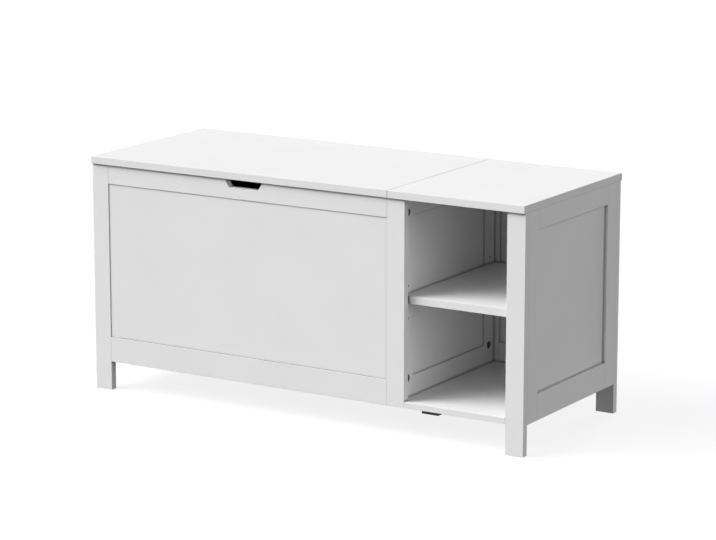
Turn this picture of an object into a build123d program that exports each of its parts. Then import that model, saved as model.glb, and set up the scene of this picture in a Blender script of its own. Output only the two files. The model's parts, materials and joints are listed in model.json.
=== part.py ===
from build123d import *
import os
from math import sqrt

# Storage bench: a chest with a flap lid on the left, an open cubby with a shelf on the right.
# Millimetres. X runs to the right along the front, Y to the back, Z up. The origin lies on the
# ground under the middle of the bench.

# Overall sizes
bench_width = 1000.0
bench_depth = 400.0
bench_height = 485.0
ground_clearance = 60.0        # under the rails and floors
cubby_opening = 223.0          # between the front centre stile and the right leg
top_overhang = 5.0             # lid and fixed top past the front and rear of the frames
seam_inset = 3.0               # middle of the seam, right of the centre stile's left edge
seam_gap = 1.0
lid_gap = 0.3                  # lid above the rails that it closes on

# Boards
board = 15.0                   # tops, legs, stiles, rails and shelf
floor_board = 12.0
panel_board = 5.0
panel_recess = 7.0             # panel behind the outer face of its frame
field_recess = 1.5             # raised field of the front panel behind that face
field_gap = 0.3                # around the field
top_round = 0.7
edge_break = 0.35
floor_gap = 0.2                # around the floors

# Frame members
leg_width = 39.0
stile_width = 39.0
top_rail_height = 39.0
bottom_rail_height = 52.0
groove_depth = 8.0
groove_play = 0.1              # beside a panel or tenon in its groove
panel_entry = 7.0              # of a panel's edge in its groove
tenon_length = 7.5

# Finger notch in the front top rail
notch_top_width = 89.0
notch_bottom_width = 69.0
notch_depth = 17.0
notch_round = 3.0

# Shelf and its pins
shelf_top = 278.5
shelf_setback = 2.0            # behind the back of the front centre stile
shelf_gap = 0.5
pin_diameter = 5.0
pin_entry = 8.0
pin_reach = 7.5
pin_end_room = 1.0
pin_pitch = 32.0               # between the three heights of the shelf
pin_play = 0.05

# Cam locks and their bolts
cam_diameter = 15.0
cam_height = 11.5
cam_pocket = 12.0
cam_setback = 20.0             # cam's centre from the edge that it pulls on
cam_below_top = 32.0
cam_above_bottom = 50.0
cam_play = 0.1
cam_slot = 7.4                 # square way in for the bolt's head
cam_slot_back = 4.0            # behind the cam's centre
cam_cross_length = 8.0
cam_cross_width = 1.6
cam_cross_depth = 2.0
bolt_head = 6.4
bolt_head_length = 3.0
bolt_neck = 4.4
bolt_neck_length = 6.0
bolt_shaft = 6.6
bolt_thread = 5.0
bolt_entry = 10.0
bolt_play = 0.05
bolt_bore_play = 0.2

# Dowels
dowel_diameter = 8.0
dowel_face_entry = 9.0         # in the face of one board
dowel_edge_entry = 19.0        # in the edge of the other
dowel_end_room = 1.0
dowel_pitch = 170.0            # between the two dowels of a frame's edge
dowel_play = 0.05
dowel_taper = 0.8
floor_dowel_diameter = 6.0
floor_dowel_entry = 15.0       # in a floor's edge
floor_dowel_pitch = 220.0      # along the chest floor
top_fixing_spread = 80.0       # fixings of the fixed top and floors from the middle of a rail

# Lid hinges
hinge_length = 60.0
hinge_inset = 100.0            # from the lid's ends to the outer hinges
hinge_barrel = 4.6
hinge_room = 0.3               # barrel to lid and rail
hinge_pin = 2.5
hinge_running = 0.05
hinge_pin_head = 3.6
hinge_pin_head_length = 0.6
knuckles = 5
knuckle_gap = 0.3
knuckle_room = 0.4             # around the other leaf's knuckles
leaf = 1.2
lid_leaf_depth = 17.0
frame_leaf_height = 22.0
leaf_round = 3.0
leaf_screw_spread = 20.0
leaf_screw_setback = 10.5      # from the hinge's axis
mortise_room = 0.3

# Screws
screw_diameter = 3.0
screw_head = 5.6
screw_head_height = 1.15
screw_length = 12.0
screw_cross_length = 3.0
screw_cross_width = 0.6
screw_cross_depth = 0.7
screw_play = 0.05
screw_end_room = 1.0

# Gas strut between the left frame and the lid
strut_radius = 200.0           # both ball joints from the hinge's axis
strut_offset = 14.0            # strut's plane from the left frame
strut_drop = 14.0              # upper ball below the lid
tube_diameter = 15.0
tube_wall = 1.0
tube_end = 3.0
tube_round = 1.5
tube_lip = 1.0
tube_lip_room = 0.5
rod_diameter = 6.0
rod_show = 10.0                # rod between its socket and the tube, lid closed
rod_end_room = 5.0
rod_running = 0.05
gland_length = 10.0
piston_length = 6.0
piston_play = 0.1
stud_diameter = 5.0            # threaded ends in the sockets
stud_length = 8.0
stud_play = 0.05
ball_diameter = 8.0
ball_play = 0.1
ball_neck = 4.5
ball_mouth = 7.2
socket_head = 13.0
socket_width = 10.0
socket_shank = 9.0
socket_reach = 18.0            # from the ball's centre to the end of the shank
bracket_sheet = 2.0
bracket_length = 46.0
bracket_width = 16.0
bracket_round = 4.0
bracket_screw_spread = 15.0
bracket_flange = 26.0          # of the lid bracket along the lid

# Foot under the chest floor, beside the divider
foot_width = 39.0
foot_offset = 25.0             # left of the divider's middle
foot_round = 2.0
foot_wall = 3.0
foot_deck = 8.0
foot_screw_length = 16.0

# Planes and levels that the sizes give
half_width = bench_width / 2
half_depth = bench_depth / 2
frame_rear = half_depth - top_overhang
wall_rear = frame_rear - board
lid_underside = bench_height - board
carcass_top = lid_underside - lid_gap
floor_middle = ground_clearance + floor_board / 2
leg_inner = half_width - leg_width
side_inner = half_width - board
stile_right = leg_inner - cubby_opening
stile_left = stile_right - leg_width
divider_middle = (stile_left + stile_right) / 2
divider_left = divider_middle - board / 2
divider_right = divider_middle + board / 2
lid_right = stile_left + seam_inset - seam_gap / 2
fixed_top_left = lid_right + seam_gap
rail_low = ground_clearance + bottom_rail_height
rail_high = carcass_top - top_rail_height
stile_line = wall_rear - stile_width
cam_line = wall_rear - cam_setback
cam_levels = (ground_clearance + cam_above_bottom, carcass_top - cam_below_top)
frame_mid_level = (ground_clearance + carcass_top) / 2
dowel_levels = (frame_mid_level - dowel_pitch / 2, frame_mid_level + dowel_pitch / 2)
shelf_underside = shelf_top - board
pin_level = shelf_underside - pin_diameter / 2
pin_levels = (pin_level - pin_pitch, pin_level, pin_level + pin_pitch)
chest_middle = (divider_left - side_inner) / 2
cubby_middle = (stile_right + leg_inner) / 2
fixing_spread = (-top_fixing_spread, top_fixing_spread)
hinge_y = frame_rear + hinge_barrel / 2 + hinge_room
hinge_z = lid_underside - hinge_barrel / 2 - hinge_room
hinge_places = (-half_width + hinge_inset, (lid_right - half_width) / 2, lid_right - hinge_inset)
hinge_screws = [x + turn * leaf_screw_spread for x in hinge_places for turn in (-1, 1)]
knuckle_pitch = hinge_length / knuckles
foot_middle = divider_middle - foot_offset

UP, DOWN = Vector(0, 0, 1), Vector(0, 0, -1)
RIGHT, LEFT = Vector(1, 0, 0), Vector(-1, 0, 0)
REAR, FRONT = Vector(0, 1, 0), Vector(0, -1, 0)
ONWARD = (Align.CENTER, Align.CENTER, Align.MIN)
ONWARD_BELOW = (Align.CENTER, Align.CENTER, Align.MAX)

os.makedirs("parts", exist_ok=True)


def keep(piece, name):
    """Label a finished piece and write it."""
    piece.part.label = name
    export_step(piece.part, f"parts/{name}.step")


def middle(ends):
    return (ends[0] + ends[1]) / 2


def span(ends):
    return ends[1] - ends[0]


def face_plane(outward, place):
    """Upright plane of a frame's outer face at a place on the world axis along outward."""
    axis = Vector(abs(outward.X), abs(outward.Y), 0)
    return Plane(origin=axis * place, x_dir=UP.cross(outward), z_dir=outward)


def ends_on(face, ends):
    """Ends along a world axis, as ends along the local X of a frame's face."""
    turn = face.x_dir.X + face.x_dir.Y
    return sorted((turn * ends[0], turn * ends[1]))


def drill(point, inward, diameter, depth):
    """Cut a round hole that starts at a point of a board's surface."""
    with Locations(Plane(origin=point, z_dir=inward)):
        Cylinder(diameter / 2, depth, align=ONWARD, mode=Mode.SUBTRACT)


def member(face, ends, levels, grooves=(), tenons=False, groove_start=ground_clearance, holes=()):
    """Leg, stile or rail behind its outer face.

    grooves lists the ways that the edges ploughed for a panel or tenon face, tenons puts a stub
    tenon on both ends, and holes lists what is drilled.
    """
    across = ends_on(face, ends)
    with BuildPart() as piece:
        with BuildSketch(face):
            with Locations((middle(across), middle(levels))):
                Rectangle(span(across), span(levels))
        extrude(amount=-board)
        chamfer(piece.edges(), edge_break)
        if tenons:
            with BuildSketch(face.offset(-panel_recess)):
                with Locations((middle(across), middle(levels))):
                    Rectangle(span(across) + 2 * tenon_length, span(levels))
            extrude(amount=-panel_board)
        for way in grooves:
            if way.Z:
                edge = levels[1] if way.Z > 0 else levels[0]
                place = (middle(across), edge - way.Z * groove_depth / 2)
                size = (span(across) + 2 * tenon_length, groove_depth)
            else:
                turn = way.dot(face.x_dir)
                edge = across[1] if turn > 0 else across[0]
                place = (edge - turn * groove_depth / 2, (groove_start + levels[1]) / 2)
                size = (groove_depth, levels[1] - groove_start)
            with BuildSketch(face.offset(groove_play - panel_recess)):
                with Locations(place):
                    Rectangle(*size)
            extrude(amount=-panel_board - 2 * groove_play, mode=Mode.SUBTRACT)
        for hole in holes:
            drill(*hole)
    return piece


def frame_panel(face, ends, raised=False):
    """Thin panel in the grooves between two rails and two stiles, flat or with a raised field."""
    across = ends_on(face, ends)
    centre = (middle(across), (rail_low + rail_high) / 2)
    width, height = span(across), rail_high - rail_low
    with BuildPart() as piece:
        with BuildSketch(face.offset(-panel_recess)):
            with Locations(centre):
                Rectangle(width + 2 * panel_entry, height + 2 * panel_entry)
        extrude(amount=-panel_board)
        if raised:
            with BuildSketch(face.offset(-panel_recess)):
                with Locations(centre):
                    Rectangle(width - 2 * field_gap, height - 2 * field_gap)
            extrude(amount=panel_recess - field_recess)
            field = piece.faces().sort_by(Axis(face.origin, face.z_dir))[-1]
            chamfer(field.edges(), edge_break)
    return piece


def plank(ends, depths, levels, holes=(), softening=edge_break):
    """Flat board between three pairs of world ends, its edges broken."""
    with BuildPart() as piece:
        with BuildSketch(Plane.XY.offset(levels[0])):
            with Locations((middle(ends), middle(depths))):
                Rectangle(span(ends), span(depths))
        extrude(amount=span(levels))
        fillet(piece.edges(), softening)
        for hole in holes:
            drill(*hole)
    return piece


def group(unit, places):
    """Copies of one small piece, each on its own plane."""
    with BuildPart() as pieces:
        with Locations(*places):
            add(unit.part)
    return pieces


# Fixings: where each one sits, and the holes that it needs.
# A cam's plane has the cam's face as its Z and the bolt's pull as its X.
def cam_plane(point, facing, pull):
    return Plane(origin=point, x_dir=pull, z_dir=facing)


def cam_holes(cam):
    """Pocket for the cam, and the bolt's bore from the board's edge."""
    bore = cam.origin - cam.z_dir * (board / 2)
    return [(cam.origin, -cam.z_dir, cam_diameter + 2 * cam_play, cam_pocket),
            (bore, cam.x_dir, bolt_shaft + 2 * bolt_bore_play, cam_setback)]


def bolt_hole(cam):
    """Pilot for the cam's bolt in the board that it pulls on."""
    start = cam.origin - cam.z_dir * (board / 2) + cam.x_dir * cam_setback
    return (start, cam.x_dir, bolt_thread + 2 * bolt_play, bolt_entry + dowel_end_room)


# A dowel's plane lies in the joint, with its Z into the face of the other board.
def dowel_holes(joint):
    """Hole in the edge of one board, and in the face of the other."""
    size = dowel_diameter + 2 * dowel_play
    return ((joint.origin, -joint.z_dir, size, dowel_edge_entry + dowel_end_room),
            (joint.origin, joint.z_dir, size, dowel_face_entry + dowel_end_room))


def floor_dowel_holes(joint):
    """Hole in a floor's edge, and in the face of the rail beside it."""
    size = floor_dowel_diameter + 2 * dowel_play
    return ((joint.origin, -joint.z_dir, size, floor_dowel_entry + dowel_end_room),
            (joint.origin, joint.z_dir, size, dowel_face_entry + dowel_end_room))


def screw_hole(seat, sheet):
    """Pilot in the wood behind a sheet of metal, for a screw with its head on the seat plane."""
    return (seat.origin + seat.z_dir * sheet, seat.z_dir, screw_diameter + 2 * screw_play,
            screw_length - sheet + screw_end_room)


def screw_seat(seat):
    """Cut a countersunk hole through sheet metal."""
    with Locations(seat):
        Cone(screw_head / 2 + screw_play, screw_diameter / 2 + screw_play, screw_head_height,
             align=ONWARD, mode=Mode.SUBTRACT)
        Cylinder(screw_diameter / 2 + screw_play, screw_length, align=ONWARD, mode=Mode.SUBTRACT)


# Side frames and the divider between chest and cubby, by the way and the place of their outer faces
side_frames = {
    "left_side": (LEFT, -half_width),
    "divider": (LEFT, divider_left),
    "right_side": (RIGHT, half_width),
}
frame_middle = {name: place - way.X * board / 2 for name, (way, place) in side_frames.items()}
frame_inner = {name: place - way.X * board for name, (way, place) in side_frames.items()}
frame_ends = {"front": FRONT, "rear": REAR}

corner_cams = {
    (name, end): [cam_plane(Vector(frame_inner[name], toward.Y * cam_line, level), -way, toward)
                  for level in cam_levels]
    for name, (way, place) in side_frames.items() for end, toward in frame_ends.items()
}
corner_dowels = {
    (name, end): [Plane(origin=(frame_middle[name], toward.Y * wall_rear, level), z_dir=toward)
                  for level in dowel_levels]
    for name in side_frames for end, toward in frame_ends.items()
}
right_top_cams = [cam_plane(Vector(side_inner, y, carcass_top - cam_setback), LEFT, UP)
                  for y in fixing_spread]
rear_top_cams = [cam_plane(Vector(cubby_middle + x, wall_rear, carcass_top - cam_setback), FRONT, UP)
                 for x in fixing_spread]
top_dowels = [Plane(origin=(divider_middle, y, carcass_top), z_dir=UP) for y in fixing_spread]
chest_floor_dowels = {
    "left_side": [Plane(origin=(-side_inner, y, floor_middle), z_dir=LEFT) for y in fixing_spread],
    "front": [Plane(origin=(chest_middle + x * floor_dowel_pitch, -wall_rear, floor_middle), z_dir=FRONT)
              for x in (-1, 0, 1)],
    "rear": [Plane(origin=(chest_middle + x * floor_dowel_pitch, wall_rear, floor_middle), z_dir=REAR)
             for x in (-1, 0, 1)],
}
cubby_floor_dowels = {
    "right_side": [Plane(origin=(side_inner, y, floor_middle), z_dir=RIGHT) for y in fixing_spread],
    "rear": [Plane(origin=(cubby_middle + x, wall_rear, floor_middle), z_dir=REAR) for x in fixing_spread],
}
divider_floor_dowels = [Plane(origin=(divider_left, y, floor_middle), z_dir=RIGHT) for y in fixing_spread]
shelf_pin_faces = {"divider": (divider_right, LEFT), "right_side": (side_inner, RIGHT)}

# Strut: its ball joints lie equally far from the hinge's axis, so it turns by half of the lid's angle
strut_x = strut_offset - side_inner
lower_y = wall_rear - stile_width / 2
lower_ball = Vector(strut_x, lower_y, hinge_z - sqrt(strut_radius ** 2 - (lower_y - hinge_y) ** 2))
upper_z = lid_underside - strut_drop
upper_ball = Vector(strut_x, hinge_y - sqrt(strut_radius ** 2 - (upper_z - hinge_z) ** 2), upper_z)
strut_length = (upper_ball - lower_ball).length
strut_way = (upper_ball - lower_ball).normalized()
rod_line = Plane(origin=lower_ball, x_dir=RIGHT, z_dir=strut_way)
tube_line = Plane(origin=upper_ball, x_dir=RIGHT, z_dir=-strut_way)
tube_length = strut_length - 2 * socket_reach - rod_show
rod_tip = strut_length - socket_reach - tube_end - rod_end_room
bracket_face = strut_x + strut_offset
flange_middle = bracket_face + bracket_flange / 2

# Seats of the screws' heads, each with its Z into the wood
frame_leaf_seats = [Plane(origin=(x, frame_rear + leaf, hinge_z - leaf_screw_setback), z_dir=FRONT)
                    for x in hinge_screws]
lid_leaf_seats = [Plane(origin=(x, hinge_y - leaf_screw_setback, lid_underside - leaf), z_dir=UP)
                  for x in hinge_screws]
wall_bracket_seats = [Plane(origin=(bracket_sheet - side_inner, lower_y, lower_ball.Z + z), z_dir=LEFT)
                      for z in (-bracket_screw_spread, bracket_screw_spread)]
lid_bracket_seats = [Plane(origin=(flange_middle, upper_ball.Y + y, lid_underside - bracket_sheet), z_dir=UP)
                     for y in (-bracket_screw_spread, bracket_screw_spread)]
foot_seat = Plane(origin=(foot_middle, 0, ground_clearance - foot_deck), z_dir=UP)

# Side frames and divider: stiles, rails and panel
for name, (way, place) in side_frames.items():
    face = face_plane(way, place)
    for end, toward in frame_ends.items():
        holes = [hole for cam in corner_cams[name, end] for hole in cam_holes(cam)]
        holes += [dowel_holes(joint)[0] for joint in corner_dowels[name, end]]
        if name in shelf_pin_faces:
            wall_x, inward = shelf_pin_faces[name]
            holes += [((wall_x, toward.Y * cam_line, level), inward, pin_diameter + 2 * pin_play,
                       pin_entry + pin_end_room) for level in pin_levels]
        if (name, end) == ("left_side", "rear"):
            holes += [screw_hole(seat, bracket_sheet) for seat in wall_bracket_seats]
        ends = (toward.Y * stile_line, toward.Y * wall_rear)
        stile = member(face, ends, (ground_clearance, carcass_top), [-toward], holes=holes)
        keep(stile, f"{name}_{end}_stile")

    top_holes = {
        "left_side": [],
        "divider": [dowel_holes(joint)[0] for joint in top_dowels],
        "right_side": [hole for cam in right_top_cams for hole in cam_holes(cam)],
    }
    bottom_holes = {
        "left_side": [floor_dowel_holes(joint)[1] for joint in chest_floor_dowels["left_side"]],
        "divider": [(joint.origin, RIGHT, floor_dowel_diameter + 2 * dowel_play, board)
                    for joint in divider_floor_dowels],
        "right_side": [floor_dowel_holes(joint)[1] for joint in cubby_floor_dowels["right_side"]],
    }
    opening = (-stile_line, stile_line)
    top_rail = member(face, opening, (rail_high, carcass_top), [DOWN], True, holes=top_holes[name])
    keep(top_rail, f"{name}_top_rail")
    bottom_rail = member(face, opening, (ground_clearance, rail_low), [UP], True, holes=bottom_holes[name])
    keep(bottom_rail, f"{name}_bottom_rail")
    keep(frame_panel(face, opening), f"{name}_panel")

# Legs and centre stiles: world ends, foot level and grooved edges
front_face = face_plane(FRONT, -frame_rear)
rear_face = face_plane(REAR, frame_rear)
uprights = {
    "front_left_leg": ("front", "left_side", (-half_width, -leg_inner), 0.0, [RIGHT]),
    "front_centre_stile": ("front", "divider", (stile_left, stile_right), ground_clearance, [LEFT]),
    "front_right_leg": ("front", "right_side", (leg_inner, half_width), 0.0, []),
    "rear_left_leg": ("rear", "left_side", (-half_width, -leg_inner), 0.0, [RIGHT]),
    "rear_centre_stile": ("rear", "divider", (stile_left, stile_right), ground_clearance, [LEFT, RIGHT]),
    "rear_right_leg": ("rear", "right_side", (leg_inner, half_width), 0.0, [LEFT]),
}
for name, (end, frame, ends, foot, grooves) in uprights.items():
    face = front_face if end == "front" else rear_face
    holes = [bolt_hole(cam) for cam in corner_cams[frame, end]]
    holes += [dowel_holes(joint)[1] for joint in corner_dowels[frame, end]]
    keep(member(face, ends, (foot, carcass_top), grooves, holes=holes), name)

# Front of the chest: a top rail with the finger notch, a bottom rail and a panel
chest_bay = (-leg_inner, stile_left)
cubby_bay = (stile_right, leg_inner)
notch_middle = middle(chest_bay)
notch_floor = carcass_top - notch_depth
with BuildPart() as front_top_rail:
    add(member(front_face, chest_bay, (rail_high, carcass_top), [DOWN], True).part)
    with BuildSketch(front_face):
        with BuildLine():
            Polyline(
                (notch_middle - notch_top_width / 2, carcass_top),
                (notch_middle - notch_bottom_width / 2, notch_floor),
                (notch_middle + notch_bottom_width / 2, notch_floor),
                (notch_middle + notch_top_width / 2, carcass_top),
                close=True,
            )
        notch = make_face()
        fillet(notch.vertices().group_by(Axis.Z)[0], notch_round)
    extrude(amount=-board, mode=Mode.SUBTRACT)
keep(front_top_rail, "front_top_rail")

floor_holes = [floor_dowel_holes(joint)[1] for joint in chest_floor_dowels["front"]]
front_bottom_rail = member(front_face, chest_bay, (ground_clearance, rail_low), [UP], True, holes=floor_holes)
keep(front_bottom_rail, "front_bottom_rail")
keep(frame_panel(front_face, chest_bay, raised=True), "front_panel")

# Back of the chest: the top rail is let in for the lid's hinge leaves
with BuildPart() as rear_chest_top_rail:
    holes = [screw_hole(seat, leaf) for seat in frame_leaf_seats]
    add(member(rear_face, chest_bay, (rail_high, carcass_top), [DOWN], True, holes=holes).part)
    with BuildSketch(Plane.XY.offset(carcass_top)):
        with Locations(*[(x, (wall_rear + frame_rear) / 2) for x in hinge_places]):
            Rectangle(hinge_length + 2 * knuckle_room, board)
    extrude(amount=lid_gap - leaf - mortise_room, mode=Mode.SUBTRACT)
keep(rear_chest_top_rail, "rear_chest_top_rail")

floor_holes = [floor_dowel_holes(joint)[1] for joint in chest_floor_dowels["rear"]]
rear_bottom_rail = member(rear_face, chest_bay, (ground_clearance, rail_low), [UP], True, holes=floor_holes)
keep(rear_bottom_rail, "rear_chest_bottom_rail")
keep(frame_panel(rear_face, chest_bay), "rear_chest_panel")

# Back of the cubby
top_cam_holes = [hole for cam in rear_top_cams for hole in cam_holes(cam)]
cubby_top_rail = member(rear_face, cubby_bay, (rail_high, carcass_top), [DOWN], True, holes=top_cam_holes)
keep(cubby_top_rail, "rear_cubby_top_rail")
floor_holes = [floor_dowel_holes(joint)[1] for joint in cubby_floor_dowels["rear"]]
cubby_rail = member(rear_face, cubby_bay, (ground_clearance, rail_low), [UP], True, holes=floor_holes)
keep(cubby_rail, "rear_cubby_bottom_rail")
keep(frame_panel(rear_face, cubby_bay), "rear_cubby_panel")

# Chest floor between the frames
floor_holes = [floor_dowel_holes(joint)[0] for row in chest_floor_dowels.values() for joint in row]
floor_holes += [floor_dowel_holes(joint)[0] for joint in divider_floor_dowels]
floor_holes.append((foot_seat.origin + UP * foot_deck, UP, screw_diameter + 2 * screw_play,
                    foot_screw_length - foot_deck + screw_end_room))
chest_floor = plank(
    (floor_gap - side_inner, divider_left - floor_gap),
    (floor_gap - wall_rear, wall_rear - floor_gap),
    (ground_clearance, ground_clearance + floor_board),
    floor_holes,
)
keep(chest_floor, "chest_floor")

# Cubby floor: its front comes through between the centre stile and the right leg
with BuildPart() as cubby_floor:
    with BuildSketch(Plane.XY.offset(ground_clearance)):
        with Locations(((divider_right + side_inner) / 2, 0)):
            Rectangle(side_inner - divider_right - 2 * floor_gap, 2 * (wall_rear - floor_gap))
        with Locations((cubby_middle, (floor_gap - frame_rear - wall_rear) / 2)):
            Rectangle(cubby_opening - 2 * floor_gap, board + floor_gap)
    extrude(amount=floor_board)
    chamfer(cubby_floor.edges(), edge_break)
    for row in cubby_floor_dowels.values():
        for joint in row:
            drill(*floor_dowel_holes(joint)[0])
    for joint in divider_floor_dowels:
        drill(joint.origin + RIGHT * board, RIGHT, floor_dowel_diameter + 2 * dowel_play,
              floor_dowel_entry + dowel_end_room)
keep(cubby_floor, "cubby_floor")

# Shelf and the pins under its corners
shelf = plank(
    (divider_right + shelf_gap, side_inner - shelf_gap),
    (shelf_setback - wall_rear, wall_rear - shelf_gap),
    (shelf_underside, shelf_top),
)
keep(shelf, "shelf")

with BuildPart() as shelf_pin:
    with Locations(Plane.XY.offset(-pin_reach)):
        Cylinder(pin_diameter / 2, pin_entry + pin_reach, align=ONWARD)
    chamfer(shelf_pin.edges().filter_by(GeomType.CIRCLE), edge_break)
pin_places = [Plane(origin=(wall_x, y, pin_level), z_dir=inward)
              for wall_x, inward in shelf_pin_faces.values() for y in (-cam_line, cam_line)]
keep(group(shelf_pin, pin_places), "shelf_pins")

# Fixed top over the cubby, and the lid over the chest
top_holes = [bolt_hole(cam) for cam in right_top_cams + rear_top_cams]
top_holes += [dowel_holes(joint)[1] for joint in top_dowels]
fixed_top = plank((fixed_top_left, half_width), (-half_depth, half_depth), (carcass_top, carcass_top + board),
                  top_holes, top_round)
keep(fixed_top, "fixed_top")

lid_holes = [screw_hole(seat, leaf) for seat in lid_leaf_seats]
lid_holes += [screw_hole(seat, bracket_sheet) for seat in lid_bracket_seats]
lid = plank((-half_width, lid_right), (-half_depth, half_depth), (lid_underside, bench_height),
            lid_holes, top_round)
keep(lid, "lid")

# Cam lock: a slotted drum with a cross in its face
with BuildPart() as cam_lock:
    with BuildSketch(Plane.XY.offset(-cam_pocket)):
        Circle(cam_diameter / 2)
    extrude(amount=cam_height)
    chamfer(cam_lock.edges(), edge_break)
    with Locations((-cam_slot_back, 0, -board / 2)):
        Box(cam_slot_back + cam_diameter, cam_slot, cam_slot,
            align=(Align.MIN, Align.CENTER, Align.CENTER), mode=Mode.SUBTRACT)
    with Locations((0, 0, cam_height - cam_pocket)):
        Box(cam_cross_length, cam_cross_width, cam_cross_depth, align=ONWARD_BELOW, mode=Mode.SUBTRACT)
        Box(cam_cross_width, cam_cross_length, cam_cross_depth, align=ONWARD_BELOW, mode=Mode.SUBTRACT)
cam_places = [cam for row in corner_cams.values() for cam in row] + right_top_cams + rear_top_cams
keep(group(cam_lock, cam_places), "cam_locks")

# Cam bolt: head in the cam, shaft in the frame, thread in the board that is pulled on
with BuildPart() as cam_bolt:
    with BuildSketch(Plane.XY.offset(-board / 2)):
        with BuildLine():
            neck_start = bolt_head_length / 2
            shaft_start = neck_start + bolt_neck_length
            Polyline(
                (-bolt_head_length / 2, 0),
                (-bolt_head_length / 2, bolt_head / 2),
                (neck_start, bolt_head / 2),
                (neck_start, bolt_neck / 2),
                (shaft_start, bolt_neck / 2),
                (shaft_start, bolt_shaft / 2),
                (cam_setback, bolt_shaft / 2),
                (cam_setback, bolt_thread / 2),
                (cam_setback + bolt_entry, bolt_thread / 2),
                (cam_setback + bolt_entry, 0),
                close=True,
            )
        make_face()
    revolve(axis=Axis((0, 0, -board / 2), (1, 0, 0)))
keep(group(cam_bolt, cam_places), "cam_bolts")


def dowel_pin(diameter, edge_entry, length):
    """Dowel along Z that starts as deep in a board's edge as it enters there."""
    with BuildPart() as pin:
        with BuildSketch(Plane.XY.offset(-edge_entry)):
            Circle(diameter / 2)
        extrude(amount=length)
        chamfer(pin.edges().filter_by(GeomType.CIRCLE), dowel_taper)
    return pin


def wood_screw(length):
    """Countersunk screw, its head's face on the plane and its shank along Z."""
    with BuildPart() as screw:
        Cone(screw_head / 2, screw_diameter / 2, screw_head_height, align=ONWARD)
        Cylinder(screw_diameter / 2, length, align=ONWARD)
        Box(screw_cross_length, screw_cross_width, screw_cross_depth, align=ONWARD, mode=Mode.SUBTRACT)
        Box(screw_cross_width, screw_cross_length, screw_cross_depth, align=ONWARD, mode=Mode.SUBTRACT)
    return screw


# Dowels between frames and legs, and between the divider and the fixed top
dowel = dowel_pin(dowel_diameter, dowel_edge_entry, dowel_edge_entry + dowel_face_entry)
dowel_places = [joint for row in corner_dowels.values() for joint in row] + top_dowels
keep(group(dowel, dowel_places), "frame_dowels")

# Thin dowels around the floors: the divider's go right through it
edge_dowel = dowel_pin(floor_dowel_diameter, floor_dowel_entry, floor_dowel_entry + dowel_face_entry)
through_dowel = dowel_pin(floor_dowel_diameter, floor_dowel_entry, 2 * floor_dowel_entry + board)
edge_rows = list(chest_floor_dowels.values()) + list(cubby_floor_dowels.values())
with BuildPart() as floor_dowels:
    add(group(edge_dowel, [joint for row in edge_rows for joint in row]).part)
    add(group(through_dowel, divider_floor_dowels).part)
keep(floor_dowels, "floor_dowels")

# Screws of the hinges and of the strut's brackets
screw = wood_screw(screw_length)
keep(group(screw, frame_leaf_seats), "hinge_frame_screws")
keep(group(screw, lid_leaf_seats), "hinge_lid_screws")
keep(group(screw, wall_bracket_seats), "strut_wall_screws")
keep(group(screw, lid_bracket_seats), "strut_lid_screws")

# Hinges: the frame leaf has the odd knuckles and the lid leaf the even ones
frame_knuckles = range(0, knuckles, 2)
lid_knuckles = range(1, knuckles, 2)


def knuckle_x(hinge_x, index):
    """Middle of one knuckle of a hinge."""
    return hinge_x + (index + 0.5) * knuckle_pitch - hinge_length / 2


def knuckle_row(indices):
    """Middles of the same knuckles on every hinge, on planes across the pin."""
    return [Plane(origin=(knuckle_x(x, index), hinge_y, hinge_z), z_dir=RIGHT)
            for x in hinge_places for index in indices]


def knuckle_clearance(indices):
    """Cut room for the other leaf's knuckles."""
    with Locations(*knuckle_row(indices)):
        Cylinder(hinge_barrel / 2 + knuckle_room, knuckle_pitch + knuckle_gap, mode=Mode.SUBTRACT)


def knuckle_tubes(indices):
    """Add a leaf's knuckles, bored for the pin."""
    with Locations(*knuckle_row(indices)):
        Cylinder(hinge_barrel / 2, knuckle_pitch - knuckle_gap)
    with Locations(*[Plane(origin=(x, hinge_y, hinge_z), z_dir=RIGHT) for x in hinge_places]):
        Cylinder(hinge_pin / 2 + hinge_running, hinge_length, mode=Mode.SUBTRACT)


with BuildPart() as hinge_frame_leaves:
    with BuildSketch(Plane(origin=(0, frame_rear, hinge_z), x_dir=LEFT, z_dir=REAR)):
        with Locations(*[(-x, -frame_leaf_height / 2) for x in hinge_places]):
            Rectangle(hinge_length, frame_leaf_height)
    extrude(amount=leaf)
    fillet(hinge_frame_leaves.edges().filter_by(Axis.Y).group_by(Axis.Z)[0], leaf_round)
    knuckle_clearance(lid_knuckles)
    knuckle_tubes(frame_knuckles)
    for seat in frame_leaf_seats:
        screw_seat(seat)
keep(hinge_frame_leaves, "hinge_frame_leaves")

with BuildPart() as hinge_lid_leaves:
    with BuildSketch(Plane.XY.offset(lid_underside)):
        with Locations(*[(x, hinge_y - lid_leaf_depth / 2) for x in hinge_places]):
            Rectangle(hinge_length, lid_leaf_depth)
    extrude(amount=-leaf)
    fillet(hinge_lid_leaves.edges().filter_by(Axis.Z).group_by(Axis.Y)[0], leaf_round)
    knuckle_clearance(frame_knuckles)
    knuckle_tubes(lid_knuckles)
    for seat in lid_leaf_seats:
        screw_seat(seat)
keep(hinge_lid_leaves, "hinge_lid_leaves")

with BuildPart() as hinge_pins:
    with Locations(*[Plane(origin=(x, hinge_y, hinge_z), z_dir=RIGHT) for x in hinge_places]):
        Cylinder(hinge_pin / 2, hinge_length + 2 * hinge_pin_head_length)
        for turn in (-1, 1):
            with Locations((0, 0, turn * (hinge_length + hinge_pin_head_length) / 2)):
                Cylinder(hinge_pin_head / 2, hinge_pin_head_length)
keep(hinge_pins, "hinge_pins")

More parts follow.
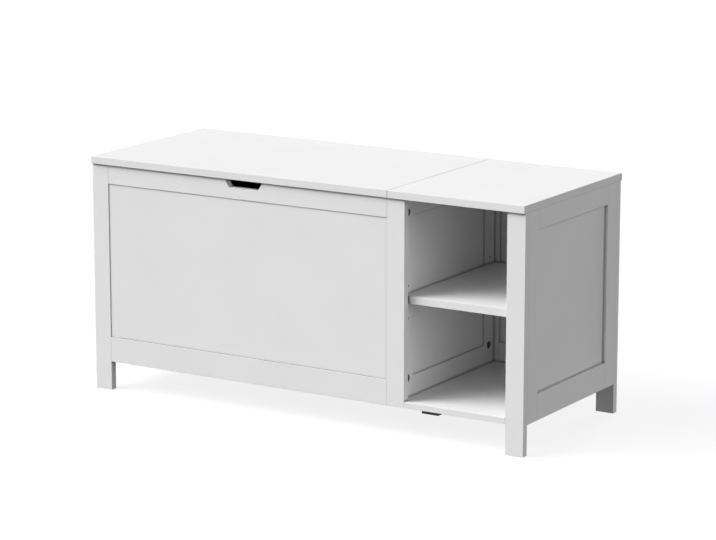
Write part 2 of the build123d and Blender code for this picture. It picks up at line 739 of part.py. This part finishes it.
# Strut brackets with their ball studs
with BuildPart() as strut_wall_bracket:
    with BuildSketch(Plane(origin=(-side_inner, lower_y, lower_ball.Z), x_dir=REAR, z_dir=RIGHT)):
        RectangleRounded(bracket_width, bracket_length, bracket_round)
    extrude(amount=bracket_sheet)
    with Locations(Plane(origin=lower_ball, z_dir=LEFT)):
        Cylinder(ball_neck / 2, strut_offset, align=ONWARD)
        Sphere(ball_diameter / 2)
    for seat in wall_bracket_seats:
        screw_seat(seat)
keep(strut_wall_bracket, "strut_wall_bracket")

with BuildPart() as strut_lid_bracket:
    with BuildSketch(Plane.XY.offset(lid_underside)):
        with Locations((flange_middle, upper_ball.Y)):
            Rectangle(bracket_flange, bracket_length)
    extrude(amount=-bracket_sheet)
    with BuildSketch(Plane(origin=(bracket_face, upper_ball.Y, upper_ball.Z), x_dir=REAR, z_dir=RIGHT)):
        Circle(bracket_width / 2)
        with Locations((0, strut_drop - bracket_sheet / 2)):
            Rectangle(bracket_length, bracket_sheet)
        make_hull()
    extrude(amount=bracket_sheet)
    with Locations(Plane(origin=upper_ball, z_dir=RIGHT)):
        Cylinder(ball_neck / 2, strut_offset, align=ONWARD)
        Sphere(ball_diameter / 2)
    for seat in lid_bracket_seats:
        screw_seat(seat)
keep(strut_lid_bracket, "strut_lid_bracket")


def ball_socket(line, mouth):
    """Plastic socket on a strut's end, open on one side for the ball stud."""
    with BuildPart() as socket:
        with BuildSketch(Plane(origin=line.origin - RIGHT * (socket_width / 2), z_dir=RIGHT)):
            Circle(socket_head / 2)
        extrude(amount=socket_width)
        chamfer(socket.edges().filter_by(GeomType.CIRCLE), edge_break)
        with BuildSketch(line):
            Circle(socket_shank / 2)
        extrude(amount=socket_reach)
        with Locations(Plane(origin=line.origin, z_dir=mouth)):
            Sphere(ball_diameter / 2 + ball_play, mode=Mode.SUBTRACT)
            Cylinder(ball_mouth / 2, socket_width, align=ONWARD, mode=Mode.SUBTRACT)
        drill(line.origin + line.z_dir * socket_reach, -line.z_dir, stud_diameter + 2 * stud_play,
              stud_length + screw_end_room)
    return socket


keep(ball_socket(rod_line, LEFT), "strut_rod_socket")
keep(ball_socket(tube_line, RIGHT), "strut_tube_socket")

# Strut rod with its piston, and the tube with the gland that guides the rod
with BuildPart() as strut_rod:
    with BuildSketch(rod_line.offset(socket_reach)):
        Circle(rod_diameter / 2)
    extrude(amount=rod_tip - socket_reach)
    with BuildSketch(rod_line.offset(socket_reach)):
        Circle(stud_diameter / 2)
    extrude(amount=-stud_length)
keep(strut_rod, "strut_rod")

with BuildPart() as strut_piston:
    with BuildSketch(rod_line.offset(rod_tip)):
        Circle(tube_diameter / 2 - tube_wall - piston_play)
        Circle(rod_diameter / 2 + rod_running, mode=Mode.SUBTRACT)
    extrude(amount=-piston_length)
keep(strut_piston, "strut_piston")

tube_mouth = socket_reach + tube_length
with BuildPart() as strut_tube:
    with BuildSketch(tube_line.offset(socket_reach)):
        Circle(tube_diameter / 2)
    extrude(amount=tube_length)
    fillet(strut_tube.edges().filter_by(GeomType.CIRCLE), tube_round)
    with BuildSketch(tube_line.offset(socket_reach)):
        Circle(stud_diameter / 2)
    extrude(amount=-stud_length)
    with BuildSketch(tube_line.offset(socket_reach + tube_end)):
        Circle(tube_diameter / 2 - tube_wall)
    extrude(amount=tube_length - tube_end - tube_lip, mode=Mode.SUBTRACT)
    with BuildSketch(tube_line.offset(tube_mouth)):
        Circle(rod_diameter / 2 + tube_lip_room)
    extrude(amount=-tube_lip, mode=Mode.SUBTRACT)
keep(strut_tube, "strut_tube")

with BuildPart() as strut_gland:
    with BuildSketch(tube_line.offset(tube_mouth - tube_lip)):
        Circle(tube_diameter / 2 - tube_wall - stud_play)
        Circle(rod_diameter / 2 + rod_running, mode=Mode.SUBTRACT)
    extrude(amount=-gland_length)
keep(strut_gland, "strut_gland")

# Moulded foot, hollow below its deck, and the screw up into the chest floor
with BuildPart() as centre_foot:
    with BuildSketch():
        with Locations((foot_middle, 0)):
            RectangleRounded(foot_width, foot_width, foot_round)
    extrude(amount=ground_clearance)
    with BuildSketch():
        with Locations((foot_middle, 0)):
            Rectangle(foot_width - 2 * foot_wall, foot_width - 2 * foot_wall)
    extrude(amount=ground_clearance - foot_deck, mode=Mode.SUBTRACT)
    screw_seat(foot_seat)
keep(centre_foot, "centre_foot")

keep(group(wood_screw(foot_screw_length), [foot_seat]), "foot_screw")
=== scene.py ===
import json
from math import cos, radians, sin

import bpy
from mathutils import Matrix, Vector

# White storage bench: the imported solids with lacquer, plastic, metal and wood finishes, in a plain studio.
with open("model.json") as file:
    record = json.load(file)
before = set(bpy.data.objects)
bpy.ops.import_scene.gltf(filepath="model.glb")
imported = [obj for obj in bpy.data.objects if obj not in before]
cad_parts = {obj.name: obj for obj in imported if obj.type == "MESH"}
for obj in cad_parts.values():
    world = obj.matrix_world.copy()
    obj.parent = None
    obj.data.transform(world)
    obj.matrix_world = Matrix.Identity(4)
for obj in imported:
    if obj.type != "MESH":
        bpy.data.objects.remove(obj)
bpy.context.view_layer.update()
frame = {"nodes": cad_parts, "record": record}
nodes = frame["nodes"]
scene = bpy.context.scene

# Camera, from the perspective of the photograph
view_azimuth = radians(31.779)
view_elevation = radians(12.348)
view_distance = 5.8912
view_target = Vector((0.0132, 0.0, 0.2705))
focal_pixels = 2932.8
image_width = 716
sensor_width = 36.0

# Studio
floor_half_width = 20.0
floor_drop = 0.0004
floor_tone = (0.2, 0.2, 0.2, 1.0)
floor_roughness = 0.9
floor_specular = 0.1
floor_glow = 0.84
white = (1.0, 1.0, 1.0, 1.0)
lamp_spread = radians(40.0)
# Soft lamps: azimuth from the front and elevation in degrees, and strength
lamps = {
    "key_low": (-60.0, 35.0, 2.46),
    "key_high": (-45.0, 45.0, 1.52),
    "key_front": (-20.0, 15.0, 0.62),
    "fill_corner": (60.0, 20.0, 0.62),
    "fill_right": (90.0, 20.0, 0.60),
    "fill_rear": (180.0, 10.0, 1.55),
}

# Noise in the finishes: detail and roughness
drift_noise = (3.0, 0.5)
gloss_noise = (4.0, 0.55)
relief_noise = (2.0, 0.5)
# Noise values between which the colour and the gloss change
drift_range = (0.35, 0.65)
gloss_range = (0.3, 0.7)
# Painted shade in corners: rays per sample, and the openness at which a corner gets the full painted shade
corner_rays = 16
corner_openness = 0.4
# White lacquer: dark and light tones, specular level, and the painted shade in corners and joints of boards
top_tones = ((0.82, 0.82, 0.819), (0.834, 0.834, 0.833))
board_tones = ((0.836, 0.836, 0.835), (0.85, 0.85, 0.849))
lacquer_specular = 0.1
board_corner_shade = (0.006, 0.4)


def from_angles(azimuth, elevation):
    """Way from the object to a place seen at an azimuth from the front and an elevation."""
    return Vector((sin(azimuth) * cos(elevation), -cos(azimuth) * cos(elevation), sin(elevation)))


def aim(thing, way):
    """Turn a lamp or camera to look along a way."""
    thing.rotation_mode = "QUATERNION"
    thing.rotation_quaternion = way.to_track_quat("-Z", "Y")


def set_sockets(node, values):
    """Set a shader node's sockets by name."""
    for name, value in values.items():
        node.inputs[name].default_value = value


def add_node(tree, kind, values):
    """Add a shader node and set its sockets by name."""
    node = tree.nodes.new(kind)
    set_sockets(node, values)
    return node


def blank(name):
    """New node material, with its tree and its main shader."""
    material = bpy.data.materials.new(name)
    material.use_nodes = True
    tree = material.node_tree
    return material, tree, tree.nodes["Principled BSDF"]


def noise(tree, scale, character, stretch):
    """Noise over object coordinates, which may be stretched along an axis."""
    detail, roughness = character
    coordinates = add_node(tree, "ShaderNodeTexCoord", {})
    mapping = add_node(tree, "ShaderNodeMapping", {"Scale": stretch})
    field = add_node(tree, "ShaderNodeTexNoise", {"Scale": scale, "Detail": detail, "Roughness": roughness})
    tree.links.new(coordinates.outputs["Object"], mapping.inputs["Vector"])
    tree.links.new(mapping.outputs["Vector"], field.inputs["Vector"])
    return field.outputs["Fac"]


def drifting_colour(tree, dark, light, patches, stretch):
    """Colour that drifts between two tones in patches."""
    ramp = add_node(tree, "ShaderNodeValToRGB", {})
    for stop, place, tone in zip(ramp.color_ramp.elements, drift_range, (dark, light)):
        stop.position = place
        stop.color = (*tone, 1.0)
    tree.links.new(noise(tree, patches, drift_noise, stretch), ramp.inputs["Fac"])
    return ramp.outputs["Color"]


def paint_shade_in_corners(tree, colour, reach, left):
    """Colour darkened by painted shade in corners and joints, where only a share of it is left, within a
    reach in metres.
    """
    # Ambient occlusion darkens the colour here: painted shade in corners and joints
    corner = add_node(tree, "ShaderNodeAmbientOcclusion", {"Distance": reach})
    corner.samples = corner_rays
    share = add_node(tree, "ShaderNodeMapRange", {"From Min": corner_openness, "To Min": left})
    shaded_colour = add_node(tree, "ShaderNodeVectorMath", {})
    shaded_colour.operation = "SCALE"
    tree.links.new(corner.outputs["AO"], share.inputs["Value"])
    tree.links.new(colour, shaded_colour.inputs["Vector"])
    tree.links.new(share.outputs["Result"], shaded_colour.inputs["Scale"])
    return shaded_colour.outputs["Vector"]


def uneven_gloss(tree, lowest, highest, grain, stretch):
    """Roughness that varies between its lowest and highest value."""
    low, high = gloss_range
    spread = add_node(tree, "ShaderNodeMapRange",
                      {"From Min": low, "From Max": high, "To Min": lowest, "To Max": highest})
    tree.links.new(noise(tree, grain, gloss_noise, stretch), spread.inputs["Value"])
    return spread.outputs["Result"]


def fine_relief(tree, bumps, height, stretch):
    """Surface direction over fine bumps."""
    bump = add_node(tree, "ShaderNodeBump", {"Strength": 1.0, "Distance": height})
    tree.links.new(noise(tree, bumps, relief_noise, stretch), bump.inputs["Height"])
    return bump.outputs["Normal"]


def finish(name, tones, patches, gloss, grain, relief, metallic=0.0, coat=0.0, specular=0.5,
           stretch=(1, 1, 1), corner_shade=None):
    """Material whose colour drifts in patches, with uneven gloss and a fine relief.

    tones are the dark and the light colour, and patches the scale of their noise per metre.
    gloss is the lowest and highest roughness, and grain the scale of its noise per metre.
    relief is the scale per metre and the height in metres of the surface's bumps.
    The last argument, the painted shade in corners and joints, gives its reach in metres and how much colour
    is left there.
    """
    material, tree, shader = blank(name)
    set_sockets(shader, {"Metallic": metallic, "Coat Weight": coat, "Specular IOR Level": specular})
    colour = drifting_colour(tree, *tones, patches, stretch)
    if corner_shade:
        # Painted shade darkens the colour in corners and joints
        colour = paint_shade_in_corners(tree, colour, *corner_shade)
    tree.links.new(colour, shader.inputs["Base Color"])
    tree.links.new(uneven_gloss(tree, *gloss, grain, stretch), shader.inputs["Roughness"])
    tree.links.new(fine_relief(tree, *relief, stretch), shader.inputs["Normal"])
    return material


# Finishes, by the record's material slots
finishes = {
    "white_top": finish(
        "white_top_lacquer", top_tones, patches=9.0, gloss=(0.58, 0.66), grain=60.0,
        relief=(420.0, 0.00002), specular=lacquer_specular),
    "white_frame": finish(
        "white_frame_lacquer", board_tones, patches=9.0, gloss=(0.58, 0.68), grain=60.0,
        relief=(420.0, 0.00002), specular=lacquer_specular, corner_shade=board_corner_shade),
    "white_panel": finish(
        "white_panel_lacquer", board_tones, patches=7.0, gloss=(0.58, 0.66), grain=45.0,
        relief=(360.0, 0.00002), specular=lacquer_specular, corner_shade=board_corner_shade),
    "beech": finish(
        "raw_beech", ((0.58, 0.40, 0.24), (0.70, 0.52, 0.34)), patches=90.0, gloss=(0.55, 0.70), grain=300.0,
        relief=(900.0, 0.00005), stretch=(1, 1, 0.2)),
    "zinc_plated_steel": finish(
        "zinc_plated_steel", ((0.50, 0.507, 0.52), (0.56, 0.567, 0.58)), patches=260.0, gloss=(0.30, 0.38),
        grain=900.0, relief=(2200.0, 0.000002), metallic=1.0),
    "die_cast_zinc": finish(
        "die_cast_zinc", ((0.15, 0.15, 0.155), (0.21, 0.21, 0.215)), patches=160.0, gloss=(0.38, 0.55),
        grain=600.0, relief=(1800.0, 0.00001), metallic=1.0),
    "black_plastic": finish(
        "black_plastic", ((0.040, 0.040, 0.041), (0.052, 0.052, 0.053)), patches=80.0, gloss=(0.42, 0.58),
        grain=400.0, relief=(1400.0, 0.00003)),
    "strut_plastic": finish(
        "strut_plastic", ((0.016, 0.016, 0.017), (0.026, 0.026, 0.027)), patches=90.0, gloss=(0.36, 0.50),
        grain=400.0, relief=(1600.0, 0.00002)),
    "chromed_rod": finish(
        "chromed_rod", ((0.74, 0.75, 0.76), (0.80, 0.81, 0.82)), patches=60.0, gloss=(0.06, 0.14),
        grain=900.0, relief=(2500.0, 0.000001), metallic=1.0),
    "strut_tube_paint": finish(
        "strut_tube_paint", ((0.018, 0.018, 0.019), (0.028, 0.028, 0.029)), patches=70.0, gloss=(0.30, 0.42),
        grain=300.0, relief=(900.0, 0.00002), coat=0.2),
    "black_bracket": finish(
        "black_bracket", ((0.020, 0.020, 0.021), (0.032, 0.032, 0.033)), patches=70.0, gloss=(0.40, 0.55),
        grain=300.0, relief=(1100.0, 0.00003)),
}
for subpart in frame["record"]["subparts"]:
    slots = nodes[subpart["node"]].data.materials
    slots.clear()
    slots.append(finishes[subpart["material_slot"]])

# Plain pale floor
floor_corners = [(x * floor_half_width, y * floor_half_width, -floor_drop)
                 for x, y in ((-1, -1), (1, -1), (1, 1), (-1, 1))]
ground = bpy.data.meshes.new("floor")
ground.from_pydata(floor_corners, [], [(0, 1, 2, 3)])
floor = bpy.data.objects.new("floor", ground)
scene.collection.objects.link(floor)
floor_paint, _, floor_shader = blank("floor_paint")
set_sockets(floor_shader, {
    "Base Color": floor_tone,
    "Roughness": floor_roughness,
    "Specular IOR Level": floor_specular,
    "Emission Color": white,
    "Emission Strength": floor_glow,
})
ground.materials.append(floor_paint)

# Soft light: large lamps at the front left, and fills at the right and behind.
# The floor takes their light and shadows, and glows so that the shadows stay pale.
# Glossy finishes mirror the white studio and not the lamps.
floor.visible_diffuse = False
floor.visible_shadow = False
for name, (azimuth, elevation, strength) in lamps.items():
    light = bpy.data.lights.new(name, "SUN")
    light.energy = strength
    light.angle = lamp_spread
    lamp = bpy.data.objects.new(name, light)
    lamp.visible_glossy = False
    aim(lamp, -from_angles(radians(azimuth), radians(elevation)))
    scene.collection.objects.link(lamp)

# White background that is seen and mirrored, and lights nothing else
sky = bpy.data.worlds.new("background")
sky.use_nodes = True
set_sockets(sky.node_tree.nodes["Background"], {"Color": white})
scene.world = sky
sky.cycles_visibility.diffuse = False
sky.cycles_visibility.transmission = False

# Camera
lens = bpy.data.cameras.new("camera")
lens.sensor_width = sensor_width
lens.lens = focal_pixels / image_width * sensor_width
camera = bpy.data.objects.new("camera", lens)
view_way = from_angles(view_azimuth, view_elevation)
camera.location = view_target + view_way * view_distance
aim(camera, -view_way)
scene.collection.objects.link(camera)
bpy.context.scene.camera = camera

scene.view_settings.view_transform = "Standard"
